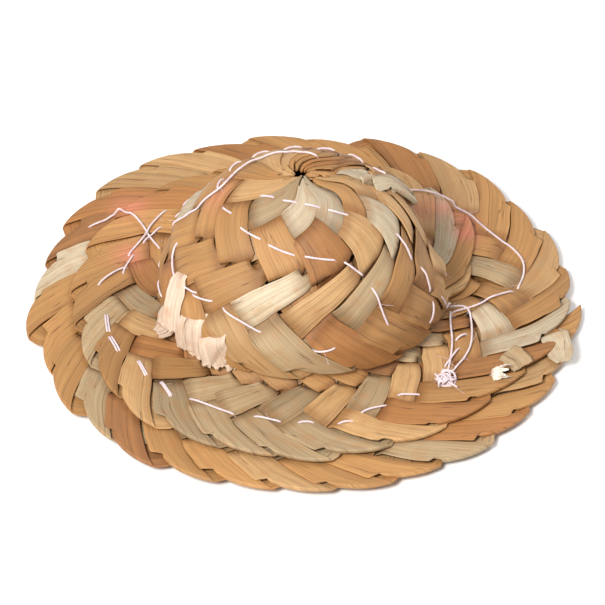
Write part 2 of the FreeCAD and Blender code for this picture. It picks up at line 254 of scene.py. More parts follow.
# -------- meshes
def colours_of(mesh, name, values):
    layer = mesh.attributes.new(name, "FLOAT_COLOR", "POINT")
    alpha = np.ones((len(values), 1))
    layer.data.foreach_set("color", np.hstack([values, alpha]).astype(np.float32).ravel())


def vectors_of(mesh, name, values):
    layer = mesh.attributes.new(name, "FLOAT_VECTOR", "POINT")
    layer.data.foreach_set("vector", np.asarray(values, np.float32).ravel())


def new_mesh(name, points, faces, material):
    """A smooth mesh object in metres, from points in millimetres and the faces as lists of corners."""
    mesh = bpy.data.meshes.new(name)
    mesh.from_pydata((points * METRES).tolist(), [], faces)
    mesh.polygons.foreach_set("use_smooth", [True] * len(mesh.polygons))
    mesh.materials.append(material)
    mesh.validate()
    piece = bpy.data.objects.new(name, mesh)
    bpy.context.scene.collection.objects.link(piece)
    return piece


def grid_faces(rows, columns):
    """Quads over a grid of points, rows by columns."""
    i, j = np.meshgrid(np.arange(rows - 1), np.arange(columns - 1), indexing="ij")
    corner = (i * columns + j).ravel()
    return np.stack([corner, corner + 1, corner + columns + 1, corner + columns], axis=1)


def strip_shell(middle, thickness):
    """Points and quads of a closed thin strip about a grid of middle points."""
    rows, columns = middle.shape[:2]
    along, across = np.gradient(middle, axis=0), np.gradient(middle, axis=1)
    normal = np.cross(along, across)
    normal /= np.linalg.norm(normal, axis=-1, keepdims=True)
    half = normal * thickness[..., None] / 2
    points = np.concatenate([(middle + half).reshape(-1, 3), (middle - half).reshape(-1, 3)])
    faces = grid_faces(rows, columns)
    count = rows * columns
    border = np.concatenate([
        np.arange(columns),
        np.arange(1, rows) * columns + columns - 1,
        (rows - 1) * columns + np.arange(columns - 2, -1, -1),
        np.arange(rows - 2, 0, -1) * columns,
    ])
    after = np.roll(border, -1)
    rim = np.stack([border, after, after + count, border + count], axis=1)
    return points, np.concatenate([faces[:, ::-1], faces + count, rim])


def joined(parts):
    """Several (points, faces, values of the points) as one."""
    points, faces, values, start = [], [], [], 0
    for part_points, part_faces, part_values in parts:
        points.append(part_points)
        faces += [[corner + start for corner in face] for face in part_faces]
        values.append(part_values)
        start += len(part_points)
    return np.concatenate(points), faces, np.concatenate(values)


# -------- colours
def linear(red, green, blue):
    """A colour given as 0 to 255 on a screen, as the shaders use it."""
    value = np.array([red, green, blue]) / 255.0
    return np.where(value <= 0.04045, value / 12.92, ((value + 0.055) / 1.055) ** 2.4)


GOLDEN = linear(179, 133, 81)
DEEP = linear(167, 115, 66)
LIGHT = linear(190, 151, 103)
CREAM = linear(192, 175, 147)
GREY = linear(173, 149, 114)
BROWN = linear(148, 102, 62)
PINKISH = linear(214, 190, 168)
PALETTE = np.array([GOLDEN, DEEP, LIGHT, CREAM, GREY, BROWN])
SHARES = np.array([0.40, 0.17, 0.22, 0.05, 0.09, 0.07])

# Single facets whose colour stands out, and wider regions with how far they reach.
ACCENTS = [
    (-155, 13, LIGHT), (-120, 13, GREY), (-135, 19, CREAM), (-105, 20, GOLDEN), (-92, 11, LIGHT),
    (-70, 23, DEEP), (-55, 21, LIGHT), (-140, 24, GOLDEN), (-128, 28, GOLDEN), (-97, 30, CREAM),
    (-77, 32, LIGHT), (-57, 32, GREY), (-38, 27, GOLDEN), (-116, 38, LIGHT), (-92, 40, GREY),
    (-72, 40, DEEP), (-45, 40, GOLDEN), (-82, 48, GOLDEN), (-105, 48, GOLDEN), (-8, 70, CREAM),
    (35, 66, CREAM), (-100, 8, CREAM), (-60, 10, CREAM),
]
REGIONS = [
    (-122, 62.0, GREY, 7.0), (-108, 63.0, GREY, 7.0), (-92, 62.0, GREY, 7.0), (-97, 57.0, GREY, 5.0),
    (-150, 76.0, GREY, 3.5), (-128, 77.0, LIGHT, 4.0), (178, 58.0, GREY, 5.0), (-170, 57.0, LIGHT, 5.0),
    (-8, 17.0, CREAM, 5.0), (0, 22.0, LIGHT, 5.0), (10, 15.0, CREAM, 5.0), (48, 63.0, LIGHT, 4.0),
]
# Faint reddish stains, as (place, how far they reach, strength).
STAIN = linear(214, 132, 108)
STAINS = [
    (34, 63.5, 2.6, 0.9), (39, 66.5, 2.4, 0.75), (46, 65.0, 3.2, 0.6), (52, 61.0, 3.5, 0.5),
    (139, 70.0, 3.6, 0.7), (156, 61.5, 3.4, 0.8), (-168, 17.0, 3.0, 0.45),
]


def place_distance(angle, arc, place_angle, place_arc):
    """Distance over the hat between places, in millimetres."""
    turn = np.radians((angle - place_angle + 180.0) % 360.0 - 180.0)
    return np.hypot(outline(arc)[0] * turn, arc - place_arc)


# -------- leaf strands
# Samples of a strand, closer together near its folds and its edges. Only the row steps' ratios count.
ROW_STEPS = np.geomspace(0.02, 0.12, 62)
END_MARGIN = 0.03  # rows at a leaf's ends that hold no other sample
ACROSS_POINTS = 17
EDGE_BUNCHING = 0.93
ACROSS_TURN = np.linspace(-1, 1, ACROSS_POINTS) * np.pi / 2 * EDGE_BUNCHING
ACROSS = np.sin(ACROSS_TURN) / np.sin(ACROSS_TURN[-1])

# Folds. Lengths along a strand are in rows.
FOLD_LENGTH = 0.06  # depth of the round fold
FOLD_PULL_RUN = 1.2  # length over which the leaf that the fold takes up is evened out
LIE_FROM, LIE_TO = 0.12, 1.2  # from a fold, where a strand's width turns from along the plait
CORNER_LEAN, CORNER_ROUND = 0.22, 0.16  # how far a fold's corner sticks out, and its curve

# Heights over the plait's middle, in millimetres.
VISUAL_LIFT = 0.42  # an upper strand's middle; its own bulge and curve come on top of it
CHANGES = [(-FLOAT, 2.0), (0.0, -2.0), (FLOAT, 2.0)]  # row where a strand changes level, and how far
RAMP = 0.2  # rows from a change of level to the full height
RAMP_UNEVENNESS, RAMP_PERIOD = 0.35, 0.9
FREE_RUN = 0.7  # rows from a fold over which a strand's own curve and level grow
TILT_AT_FOLD = 0.6  # share of its tilt that it has there
START_DIP = 1.6  # how far the raw start of the plait dips under what lies round it
START_RUN = 2.6  # crossings over which it comes up
EDGE_THINNING, THINNING_POWER = 0.3, 8
RIBS, FINE_RIBS = (0.035, 2.0, 2.0), (0.018, 7.0, 4.0)  # height, least half waves across, how many more
RIB_DRIFT, RIB_DRIFT_PERIOD = 0.25, 4.0
RIPPLE, RIPPLE_PERIOD, RIPPLE_SLANT = 0.02, 1.3, 0.2

# Unevenness of strands and their facets.
WAVER = 0.03  # of the width and the place along the plait
WIDTH_PERIOD, SLIDE_PERIOD = 2.3, 3.1
STRAND_SEED, RAMP_SEED, WIDTH_SEED, SLIDE_SEED, DRIFT_SEED, RIPPLE_SEED = 40, 50, 60, 70, 80, 90
HIDDEN = [-3.0, 1.0]  # rows in the middle of the runs under other strands
HIDDEN_RUN = 0.4  # rows, each side of those, over which one facet's values turn into the next's
FIRST_FACET = 8  # facets kept in the tables before row 0

# Looks that the material reads from a strand.
FIBRE_HALF_WIDTH = 3.2  # millimetres from a strip's middle to its edge, for the fibres
FIBRES_APART = 17.0  # from one strand's fibre pattern to the next one's
EDGE_PAINTED_HIGHLIGHT, EDGE_POWER = 0.10, 12  # painted highlight at a strip's very edges, and how suddenly
SEAM_PAINTED_SHADE = np.array([0.38, 0.46, 0.54])  # brownish painted shade where a strand goes under another
SEAM_REACH = 0.5  # rows
TUCKED_PAINTED_SHADE = np.array([0.17, 0.21, 0.25])  # and painted shade along the edge that lies lower than its neighbour
TUCKED_FROM = 0.5
BOTH_FACES = (2, 1)  # a strip's two faces repeat the values of its middle


def strand_rows(first, last):
    """Rows at which a strand is sampled: close together at its folds."""
    steps = np.concatenate([[0.0], np.cumsum(ROW_STEPS)])
    steps *= HALF_ROWS / steps[-1]
    half_wave = np.concatenate([-HALF_ROWS + steps[:-1], HALF_ROWS - steps[:0:-1]])
    waves_needed = np.arange(np.floor(first / STRANDS) - 1, np.ceil(last / STRANDS) + 2)
    rows = (half_wave[None, :] + STRANDS * waves_needed[:, None]).ravel()
    rows = rows[(rows > first + END_MARGIN) & (rows < last - END_MARGIN)]
    return np.concatenate([[first], rows, [last]])


def inside_wave(row):
    """Number of the run between folds that a row is in, and the row counted from that run's middle."""
    wave = np.floor((row + HALF_ROWS) / STRANDS)
    return wave, row - STRANDS * wave


class Strand:
    """One strand's own unevenness, facet by facet. A facet is a run over other strands."""

    def __init__(self, number):
        rng = np.random.default_rng(STRAND_SEED + number)
        self.number = number
        self.facets = 2 * int(CELLS // STRANDS) + 2 * FIRST_FACET
        self.width = rng.uniform(0.93, 1.07, self.facets)  # of the room that a strand has
        self.slide = rng.uniform(-0.14, 0.14, self.facets)  # crossings along the plait
        self.tilt = rng.uniform(0.10, 0.26, self.facets)  # one edge lower, the other higher
        self.crown = rng.uniform(0.00, 0.14, self.facets)  # arch from edge to edge
        self.bulge = rng.uniform(0.02, 0.20, self.facets)  # arch from end to end
        self.level = rng.uniform(-0.10, 0.16, self.facets)  # whole facet up or down
        self.reach = rng.uniform(-0.32, 0.14, self.facets)  # rows out at the plait's edge
        self.shade = rng.uniform(0.82, 1.12, self.facets)  # times its colour
        self.creases = rng.uniform(0.0, 1.0, (self.facets, 4))  # counts and places of its ribs
        self.angle, self.arc = self.facet_places()
        self.tint = PALETTE[rng.choice(len(PALETTE), self.facets, p=SHARES)]

    def facet_places(self):
        """Place of the middle of every facet."""
        facet = np.arange(self.facets) - FIRST_FACET
        wave = facet // 2
        inside = np.where(facet % 2 == 0, -FLOAT / 2, (FLOAT + HALF_ROWS) / 2)
        across = np.where(wave % 2 == 0, inside, -inside)
        angle = angle_at(inside + STRANDS * wave + 2 * self.number)
        inner, outer = plait_edges(angle)
        arc = mix(inner, outer, (across + HALF_ROWS) / STRANDS)
        return gathered(angle, arc), arc

    def value(self, table, row):
        """A facet's value at rows; it changes to the next facet's where the strand runs underneath."""
        wave, inside = inside_wave(row)
        facet = 2 * wave.astype(int) + FIRST_FACET
        first, second = [ease((inside - middle + HIDDEN_RUN) / (2 * HIDDEN_RUN)) for middle in HIDDEN]
        if table.ndim > 1:
            first, second = first[..., None], second[..., None]
        return mix(mix(table[facet - 1], table[facet], first), table[facet + 1], second)


def set_tints(strands):
    """Give facets their special colours, the nearest uppermost one for each single place."""
    for place_angle, place_arc, colour, reach in REGIONS:
        for strand in strands:
            near = place_distance(strand.angle, strand.arc, place_angle, place_arc) < reach
            strand.tint[near] = colour
    for place_angle, place_arc, colour in ACCENTS:
        found = []
        for strand in strands:
            above = strand.angle - 360.0
            covered = (above > START_ANGLE) & (strand.arc < plait_edges(above)[1])
            distance = place_distance(strand.angle, strand.arc, place_angle, place_arc)
            distance = np.where(covered, np.inf, distance)
            found.append((distance.min(), strand.number, int(distance.argmin())))
        _, number, facet = min(found)
        strands[number].tint[facet] = colour


def folded(inside, place):
    """Places drawn in by the round fold, and how flat the strand is: 0 at its edge, 1 beyond it."""
    end = np.sign(inside)
    depth = np.maximum(HALF_ROWS - end * place, 0.0)
    turned = FOLD_LENGTH * np.pi / 2
    angle_left = np.clip(depth / turned, 0.0, 1.0) * np.pi / 2
    pulled = (turned - FOLD_LENGTH) * (1.0 - ease((depth - turned) / FOLD_PULL_RUN))
    kept = np.where(depth < turned, FOLD_LENGTH * (1.0 - np.cos(angle_left)), depth - pulled)
    return end * (HALF_ROWS - kept), np.sin(angle_left)


def ribs_across(kind, xi, count, phase, drift):
    height, least, more = kind
    return height * np.cos((least + more * count) * np.pi * (xi * 0.5 + phase) + drift)


def creases(strand, row, xi):
    """Lengthwise ribs and hollows of a dried leaf."""
    own = strand.value(strand.creases, row)
    drift = RIB_DRIFT * waves(DRIFT_SEED + strand.number, row, RIB_DRIFT_PERIOD)
    ribs = ribs_across(RIBS, xi, own[..., 0], own[..., 1], drift)
    fine = ribs_across(FINE_RIBS, xi, own[..., 2], own[..., 3], 2 * drift)
    ripple = RIPPLE * waves(RIPPLE_SEED + strand.number, row + RIPPLE_SLANT * xi, RIPPLE_PERIOD)
    return ribs + fine + ripple


def strand_height(strand, row, xi, flat):
    """Height over the plait's middle: over or under other strands, with each facet's own shape."""
    _, inside = inside_wave(row)
    ramp = RAMP * (1.0 + RAMP_UNEVENNESS * waves(RAMP_SEED + strand.number, row, RAMP_PERIOD))
    over = -1.0 + sum(rise * ease((inside - start + ramp) / (2 * ramp)) for start, rise in CHANGES)
    free = ease((HALF_ROWS - np.abs(inside)) / FREE_RUN)
    run = np.where(inside < 0, (inside + FLOAT) / FLOAT, (inside - FLOAT) / (HALF_ROWS - FLOAT))
    bulge = strand.value(strand.bulge, row) * np.sin(np.pi * np.clip(run, 0.0, 1.0))
    curve = strand.value(strand.crown, row) * (1.0 - xi ** 2) * free
    lean = -strand.value(strand.tilt, row) * xi * mix(TILT_AT_FOLD, 1.0, free)
    shape = bulge + curve + lean + creases(strand, row, xi)
    return over * flat * (VISUAL_LIFT + shape) + strand.value(strand.level, row) * free


def strand_tint(strand, row, xi, angle, arc):
    """A facet's colour with stains, a painted highlight along its edges and painted shade where other
    strands come close.
    """
    _, inside = inside_wave(row)
    tint = strand.value(strand.tint, row) * strand.value(strand.shade, row)[..., None]
    for place_angle, place_arc, reach, strength in STAINS:
        near = np.exp(-(place_distance(angle, arc, place_angle, place_arc) / reach) ** 2)
        tint = mix(tint, STAIN, (strength * near)[..., None])
    # painted highlight along a strip's very edges
    edge = (np.abs(xi) ** EDGE_POWER)[..., None]
    # painted brownish shade at a facet's ends, where the strand goes under another
    to_change = np.min([np.abs(inside - start) for start, _ in CHANGES], axis=0)
    ends = (1.0 - ease(to_change / SEAM_REACH))[..., None]
    # painted shade along the strip's lower edge, where it lies under its neighbour
    tucked_shade_mask = ease((xi - TUCKED_FROM) / (1.0 - TUCKED_FROM))[..., None]
    return tint * (1.0 + EDGE_PAINTED_HIGHLIGHT * edge) * (1.0 - SEAM_PAINTED_SHADE * ends) * (1.0 - TUCKED_PAINTED_SHADE * tucked_shade_mask)


def strand_surface(strand, rows):
    """Middle points, thickness, colour and fibre coordinates over a strand, rows by columns."""
    number = strand.number
    row, xi = np.meshgrid(rows, ACROSS, indexing="ij")
    half_wave, inside = inside_wave(row)
    side = np.where(half_wave % 2 == 0, 1.0, -1.0)
    to_fold = HALF_ROWS - np.abs(inside)
    lying = 1.0 - ease((to_fold - LIE_FROM) / (LIE_TO - LIE_FROM))

    width = strand.value(strand.width, row) + WAVER * waves(WIDTH_SEED + number, row, WIDTH_PERIOD)
    slide = strand.value(strand.slide, row) + WAVER * waves(SLIDE_SEED + number, row, SLIDE_PERIOD)
    shift = 0.5 * width * xi
    count = row + 2 * number + shift * (1.0 + lying) + slide
    place, flat = folded(inside, inside - shift * (1.0 - lying))
    corner = CORNER_LEAN * xi - CORNER_ROUND * xi ** 2 + strand.value(strand.reach, row)
    place = place + np.sign(inside) * lying * corner
    angle = angle_at(count)
    inner, outer = plait_edges(angle)
    arc = mix(inner, outer, (side * place + HALF_ROWS) / STRANDS)

    height = strand_height(strand, row, xi, flat) - START_DIP * (1.0 - ease(count / START_RUN))
    middle = hat_point(gathered(angle, arc), arc, height)
    thickness = LEAF_THICKNESS * (1.0 - EDGE_THINNING * np.abs(xi) ** THINNING_POWER)
    steps = np.linalg.norm(np.diff(middle, axis=0, prepend=middle[:1]), axis=-1)
    along = np.cumsum(steps, axis=0)[:, len(ACROSS) // 2][:, None]
    fibre = np.stack(np.broadcast_arrays(along, xi * FIBRE_HALF_WIDTH, FIBRES_APART * number), axis=-1)
    return middle, thickness, strand_tint(strand, row, xi, angle, arc), fibre


def make_leaves(material):
    """The leaves of the plait, one piece for each of their nodes."""
    strands = [Strand(number) for number in range(STRANDS)]
    set_tints(strands)
    pieces = []
    for node, number, first, last in all_leaves():
        rows = strand_rows(first, last)
        middle, thickness, tint, fibre = strand_surface(strands[number], rows)
        points, faces = strip_shell(middle, thickness)
        piece = new_mesh(f"{node}_strip", points, faces.tolist(), material)
        colours_of(piece.data, "tint", np.tile(tint.reshape(-1, 3), BOTH_FACES))
        vectors_of(piece.data, "fibre", np.tile(fibre.reshape(-1, 3), BOTH_FACES))
        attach(piece, BODY)
        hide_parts(node)
        pieces.append(piece)
    return pieces


# -------- surface under the threads
PROBE_HEIGHT = 3.5  # over the plait, where the search for its surface starts


def surface_tree(pieces):
    """All strips as one searchable surface, in millimetres."""
    points, faces, start = [], [], 0
    for piece in pieces:
        mesh = piece.data
        coordinates = np.empty(len(mesh.vertices) * 3)
        mesh.vertices.foreach_get("co", coordinates)
        points.append(coordinates.reshape(-1, 3) / METRES)
        corners = np.empty(len(mesh.loops), int)
        mesh.loops.foreach_get("vertex_index", corners)
        faces.append(corners.reshape(-1, 4) + start)
        start += len(mesh.vertices)
    return BVHTree.FromPolygons(np.concatenate(points).tolist(), np.concatenate(faces).tolist())


def top_angle(angle, arc):
    """The turn angle of whichever turn lies uppermost at a place."""
    place = START_ANGLE + (angle - START_ANGLE) % 360.0
    while place + 360.0 <= END_ANGLE and arc > plait_edges(np.array(place))[1]:
        place += 360.0
    return place


def between(first, last, share):
    """The place a share of the way from one place to another, the short way round the hat."""
    turn = (last[0] - first[0] + 180.0) % 360.0 - 180.0
    return first[0] + turn * share, mix(first[1], last[1], share)


def surface_point(tree, angle, arc):
    """The outermost point of the strips at a place, and the direction out of the hat there."""
    place = np.array(top_angle(angle, arc))
    base = hat_point(place, np.array(arc), HALF_PLAIT)
    normal = hat_normal(place, np.array(arc))
    hit = tree.ray_cast(Vector(base + normal * PROBE_HEIGHT), Vector(-normal), 2 * PROBE_HEIGHT)[0]
    point = base if hit is None else np.array(hit)
    return point, normal


def surface_points(tree, places):
    """The same for several places, as two arrays."""
    found = [surface_point(tree, *place) for place in places]
    return np.array([point for point, _ in found]), np.array([normal for _, normal in found])


# -------- sewing thread
THREAD_RADIUS = 0.22  # at the widest of its two plies
THREAD_SPACING = 0.3  # from sample to sample along it
THREAD_SIDES = 10
PLY_PITCH = 1.3  # length over which the two plies turn once
PLY_WAIST = 0.72  # its narrowest radius, as a share of the widest
STITCH_SLACK = 0.12  # how far the middle of a stitch stands off
LOOSE_SLACK = 0.5  # and the middle of a loose thread
HEIGHT_PASSES, PATH_PASSES = 4, 2  # rounds of smoothing
SPAN = 5  # samples over which a taut thread bridges hollows
TAUT_CURVE = 0.02  # how fast the bridge drops off, per sample squared
TAUTNESS = 0.9  # share of the way from the surface's height to the bridge's
SUNK = 0.1  # most that smoothing lets it sink into the surface
RESTING = 0.9  # height of its middle over what it lies on, in radii
DIVE = 0.9  # how deep its ends go down into the strips
DIVE_RUN = 1.6  # samples over which they go down
STITCH_SHARE = 0.7  # a stitch's length over the pitch of its seam

HAIR_RADIUS = 0.03
HAIR_SIDES = 4
HAIR_POINTS = 7
SAMPLES_PER_HAIR = 14
LOOSE_SEED, KNOT_SEED = 20, 40
HAIR_HEADING = np.array([0.6, 0.6, 0.25])  # spread of the direction in which it leaves the thread
HAIR_BEND = np.array([0.5, 0.5, 0.2])
HAIR_LENGTHS = (0.8, 1.8)  # times that direction's

# Stitches as (first place, last place), and loose threads as routes of places.
CROWN_TOP_STITCHES = [
    ((-150, 9.5), (-128, 8)), ((-120, 8), (-95, 8)), ((-90, 8), (-68, 9.5)), ((-64, 10), (-46, 13)),
    ((-166, 16.5), (-152, 15.5)), ((-140, 16.5), (-118, 17)), ((-114, 17.5), (-94, 19)),
    ((-90, 19), (-70, 20.5)), ((-66, 21), (-57, 25)),
]
CROWN_SIDE_STITCHES = [
    ((-146, 33), (-132, 31.5)), ((-128, 32), (-107, 34.5)), ((-86, 37.5), (-76, 37)),
    ((-56, 27), (-52, 36)), ((-24, 21), (-24, 28.5)), ((-23, 29.5), (-22, 36)), ((-23, 37), (-28, 42)),
]
BRIM_STITCHES = [
    ((-176, 63), (-167, 63.4)), ((-166, 63.5), (-158, 63)),
    ((-152, 60.5), (-144, 61.5)), ((-140, 60), (-132, 62)),
    ((-176, 63.5), (-167, 63.9)), ((-166, 64), (-158, 63.6)),
    ((-152, 61), (-144, 62)), ((-140, 60.4), (-132, 62.4)),
    ((-128, 60), (-111, 60)), ((-106, 59.5), (-96, 60)), ((-92, 60), (-86, 60)),
    ((-80, 61), (-74, 61)), ((-72, 59), (-62, 59)), ((-58, 57.5), (-50, 60)),
]
# Seams at the back, which isn't seen, as (arc length, first turn angle, turn, pitch).
BACK_SEAMS = [(17.0, 20, 160, 24), (40.0, 0, 200, 20), (61.0, 60, 110, 15)]
LEFT_ZIGZAG = [
    [(150, 74), (142, 68), (146, 60), (147, 56.5)],
    [(133, 63.5), (142, 62.5), (148, 61.5), (157, 62)],
    [(161, 60.5), (172, 65.5)],
    [(129, 62.5), (116, 63)],
]
RIGHT_FLOAT = [
    [(61, 64), (50, 67), (40, 68), (32, 68), (18, 70), (8, 67)],
    [(7, 66.5), (2, 61), (-2, 56.5), (-5, 52)],
]
RIGHT_TANGLE = [
    [(-16, 38.5), (-8, 45), (-3, 51), (-3, 55), (-14, 57.5), (-24, 59.5), (-36, 60), (-41, 60.5)],
    [(-3, 51.5), (-16, 53), (-28, 56), (-39, 60)],
    [(-16, 57), (-22, 55)],
    [(-24, 57), (-36, 57.5)],
]
CROWN_DRAPE = [
    [(172, 30), (176, 24), (176, 16), (155, 12.5), (134, 10.5), (100, 8), (64, 7)],
    [(-172, 28), (-165, 31), (-156, 32.5), (-142, 32)],
]

KNOT_PLACE = (-41, 60.5)
KNOT_RADIUS = 1.925
KNOT_HEIGHT = 0.8  # its middle over the strips
KNOT_DEPTH = 0.8  # its size from front to back, as a share of its width
KNOT_FLATNESS = 0.45  # and their height
KNOT_TURNS = 15
KNOT_POINTS = 420
KNOT_ROLL = 0.31  # turns of the winding's plane for each loop
KNOT_WANDER = (0.25, 1.37)  # unevenness, as (share of the radius, waves for each loop)
KNOT_SWELL = (0.38, 0.73)
KNOT_DRIFTS = [(0.35, 0.11), (0.2, 0.47)]
# The knot's two tails, as (heading, bend), and the points along each.
KNOT_TAILS = [((1.6, -2.6, 1.2), (1.2, 0.4, -1.4)), ((-0.8, 2.8, 1.4), (0.9, 0.3, -1.5))]
TAIL_POINTS = 14


def seam(arc, start, length, pitch):
    """Evenly spaced stitches along one turn, each longer than the gap after it."""
    count = round(length / pitch)
    step = length / count
    return [((start + i * step, arc), (start + (i + STITCH_SHARE) * step, arc)) for i in range(count)]


def smoothed(points, passes):
    """The same array, smoothed along its first axis between its two ends."""
    for _ in range(passes):
        points[1:-1] = (points[:-2] + 2 * points[1:-1] + points[2:]) / 4
    return points


def curve_through(places, spacing):
    """Places along a Catmull-Rom curve through the given ones, about a spacing apart."""
    route = [places[0]]
    for place in places[1:]:
        route.append(between(route[-1], place, 1.0))
    route = np.array(route, float)
    ends = np.vstack([2 * route[0] - route[1], route, 2 * route[-1] - route[-2]])
    found = []
    for a, b, c, d in zip(ends, ends[1:], ends[2:], ends[3:]):
        length = place_distance(*b, *c)
        for t in np.arange(0, 1, spacing / max(length, spacing)):
            found.append(0.5 * (2 * b + (c - a) * t + (2 * a - 5 * b + 4 * c - d) * t * t
                                + (3 * b - a - 3 * c + d) * t ** 3))
    return np.array(found + [route[-1]])


def thread_path(tree, places, slack):
    """Points of a thread that lies over the strips along a route and goes down into them at its ends."""
    route = curve_through(places, THREAD_SPACING)
    points, normals = surface_points(tree, route)
    base = hat_point(np.array([top_angle(a, r) for a, r in route]), route[:, 1], 0.0)
    heights = ((points - base) * normals).sum(axis=1)
    raised = heights.copy()
    for shift in range(-SPAN, SPAN + 1):
        index = np.clip(np.arange(len(heights)) + shift, 0, len(heights) - 1)
        raised = np.maximum(raised, heights[index] - TAUT_CURVE * shift ** 2)
    raised = smoothed(mix(heights, raised, TAUTNESS), HEIGHT_PASSES)
    share = np.linspace(0, 1, len(route))
    lift = THREAD_RADIUS * RESTING + slack * np.sin(np.pi * share)
    down = DIVE * sum(np.exp(-inward * len(route) / DIVE_RUN) for inward in (share, 1 - share))
    path = base + normals * (np.maximum(raised, heights - SUNK) + lift - down)[:, None]
    return smoothed(path, PATH_PASSES)


OFF_AXIS = np.array([0.13, 0.21, 0.97])  # a direction that no thread follows


def tube_rings(path, radius_of, sides):
    """Points, faces and lengths of a closed tube. radius_of gives its radius at a length and a turn."""
    along = np.gradient(path, axis=0)
    along /= np.linalg.norm(along, axis=1, keepdims=True)
    across = np.cross(along, OFF_AXIS)
    across /= np.linalg.norm(across, axis=1, keepdims=True)
    up = np.cross(across, along)
    length = np.concatenate([[0.0], np.cumsum(np.linalg.norm(np.diff(path, axis=0), axis=1))])
    turn = np.linspace(0, 2 * np.pi, sides, endpoint=False)
    radius = radius_of(length[:, None], turn[None, :])
    points = (path[:, None] + across[:, None] * (radius * np.cos(turn))[..., None]
              + up[:, None] * (radius * np.sin(turn))[..., None])
    index = np.arange(len(path) * sides).reshape(len(path), sides)
    a, b = index[:-1], np.roll(index, -1, axis=1)[:-1]
    c, d = np.roll(index, -1, axis=1)[1:], index[1:]
    faces = np.stack([a, b, c, d], axis=-1).reshape(-1, 4).tolist()
    faces.append(index[0, ::-1].tolist())
    faces.append(index[-1].tolist())
    return points.reshape(-1, 3), faces, np.repeat(length, sides)


def ply_radius(length, turn):
    """Two twisted plies: the section is a rounded eight that turns along the thread."""
    bulge = np.abs(np.cos(turn - np.pi * 2 * length / PLY_PITCH))
    return THREAD_RADIUS * mix(PLY_WAIST, 1.0, bulge)


def hair_radius(length, turn):
    return np.full(np.broadcast(length, turn).shape, HAIR_RADIUS)


def hair_path(path, rng):
    """Points of a fine fibre that sticks out somewhere along a thread."""
    at = rng.integers(0, len(path))
    heading = rng.normal(size=3) * HAIR_HEADING
    bend = rng.normal(size=3) * HAIR_BEND
    t = np.linspace(0, 1, HAIR_POINTS)[:, None]
    return path[at] + heading * t * rng.uniform(*HAIR_LENGTHS) + bend * t ** 2


def make_thread(name, node, paths, material, seed):
    """One mesh of twisted threads with a few loose fibres."""
    rng = np.random.default_rng(seed)
    tubes = []
    for path in paths:
        tubes.append(tube_rings(path, ply_radius, THREAD_SIDES))
        for _ in range(max(1, len(path) // SAMPLES_PER_HAIR)):
            tubes.append(tube_rings(hair_path(path, rng), hair_radius, HAIR_SIDES))
    points, faces, length = joined(tubes)
    piece = new_mesh(name, points, faces, material)
    vectors_of(piece.data, "fibre", np.stack(np.broadcast_arrays(length, 0.0, seed), axis=-1))
    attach(piece, BODY)
    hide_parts(node)


def make_threads(tree, material):
    backs = [seam(*row) for row in BACK_SEAMS]
    groups = [
        ("crown_top_stitches", CROWN_TOP_STITCHES + backs[0]),
        ("crown_side_stitches", CROWN_SIDE_STITCHES + backs[1]),
        ("brim_stitches", BRIM_STITCHES + backs[2]),
    ]
    for seed, (node, stitches) in enumerate(groups):
        paths = [thread_path(tree, ends, STITCH_SLACK) for ends in stitches]
        make_thread(f"{node}_thread", node, paths, material, seed)
    loose = [
        ("left_zigzag_thread", LEFT_ZIGZAG), ("right_float_thread", RIGHT_FLOAT),
        ("right_tangled_thread", RIGHT_TANGLE), ("crown_draped_thread", CROWN_DRAPE),
    ]
    for seed, (node, routes) in enumerate(loose, LOOSE_SEED):
        paths = [thread_path(tree, route, LOOSE_SLACK) for route in routes]
        make_thread(f"{node}_twist", node, paths, material, seed)


def make_knot(tree, material):
    """A small tangle of thread wound over itself, with two cut tails."""
    centre, normal = surface_point(tree, *KNOT_PLACE)
    centre = centre + normal * KNOT_HEIGHT
    t = np.linspace(0, 2 * np.pi * KNOT_TURNS, KNOT_POINTS)

    def wave(size, pace):
        return size * np.sin(pace * t)

    x = np.cos(t) * np.cos(KNOT_ROLL * t)
    y = np.sin(t) * KNOT_DEPTH + wave(*KNOT_WANDER)
    z = np.sin(KNOT_ROLL * t + t) * KNOT_FLATNESS
    swell = 1.0 - KNOT_SWELL[0] + wave(*KNOT_SWELL)
    loop = np.stack([x * swell + sum(wave(*drift) for drift in KNOT_DRIFTS), y * swell, z * swell], axis=-1)
    paths = [centre + loop * KNOT_RADIUS]
    share = np.linspace(0, 1, TAIL_POINTS)[:, None]
    for heading, bend in KNOT_TAILS:
        paths.append(centre + np.array(heading) * share + np.array(bend) * share ** 2)
    make_thread("thread_knot_tangle", "thread_knot", paths, material, KNOT_SEED)


# -------- loose leaf ends
# Each end as (root, tip, width, rise, depth of its tears, share of the width left at the tip, colour).
WHITE = linear(232, 222, 206)
LEFT_TIPS = [
    ((-157, 29), (-148, 42), 3.6, 1.4, 0.04, 0.6, PINKISH),
    ((-163, 39), (-157, 54), 3.9, 1.4, 0.02, 0.5, PINKISH),
    ((-141, 34), (-139, 51), 5.2, 1.0, 0.04, 0.7, PINKISH),
]
CRUMPLED_END = ((-130, 36), (-123, 51), 5.5, 0.8, 0.10, 0.8, PINKISH)
RIGHT_TIP = ((-8, 73.5), (-18.5, 78.5), 4.7, 0.4, 0.02, 0.45, CREAM)
CUT_ENDS = [
    ((-20, 66), (-24, 72), 3.9, 0.4, 0.01, 0.95, GREY),
    ((-31, 67), (-28, 71), 2.4, 0.8, 0.30, 1.0, WHITE),
]
ROOT_DIP = 1.8  # how far a root lies under the leaves around it
ROOT_RUN = 0.28  # share of an end's length over which it comes up
ROOT_SLANT = 0.04  # how much sooner one of its edges does
TIP_SPREAD = 1.2  # a loose end spreads out flat
TIP_RUN = 0.45  # share of its length over which it narrows
TIP_TURN = 0.8  # how far a loose end twists towards the next direction
TURNED_TO = np.array([-0.1, -0.75, 0.65])
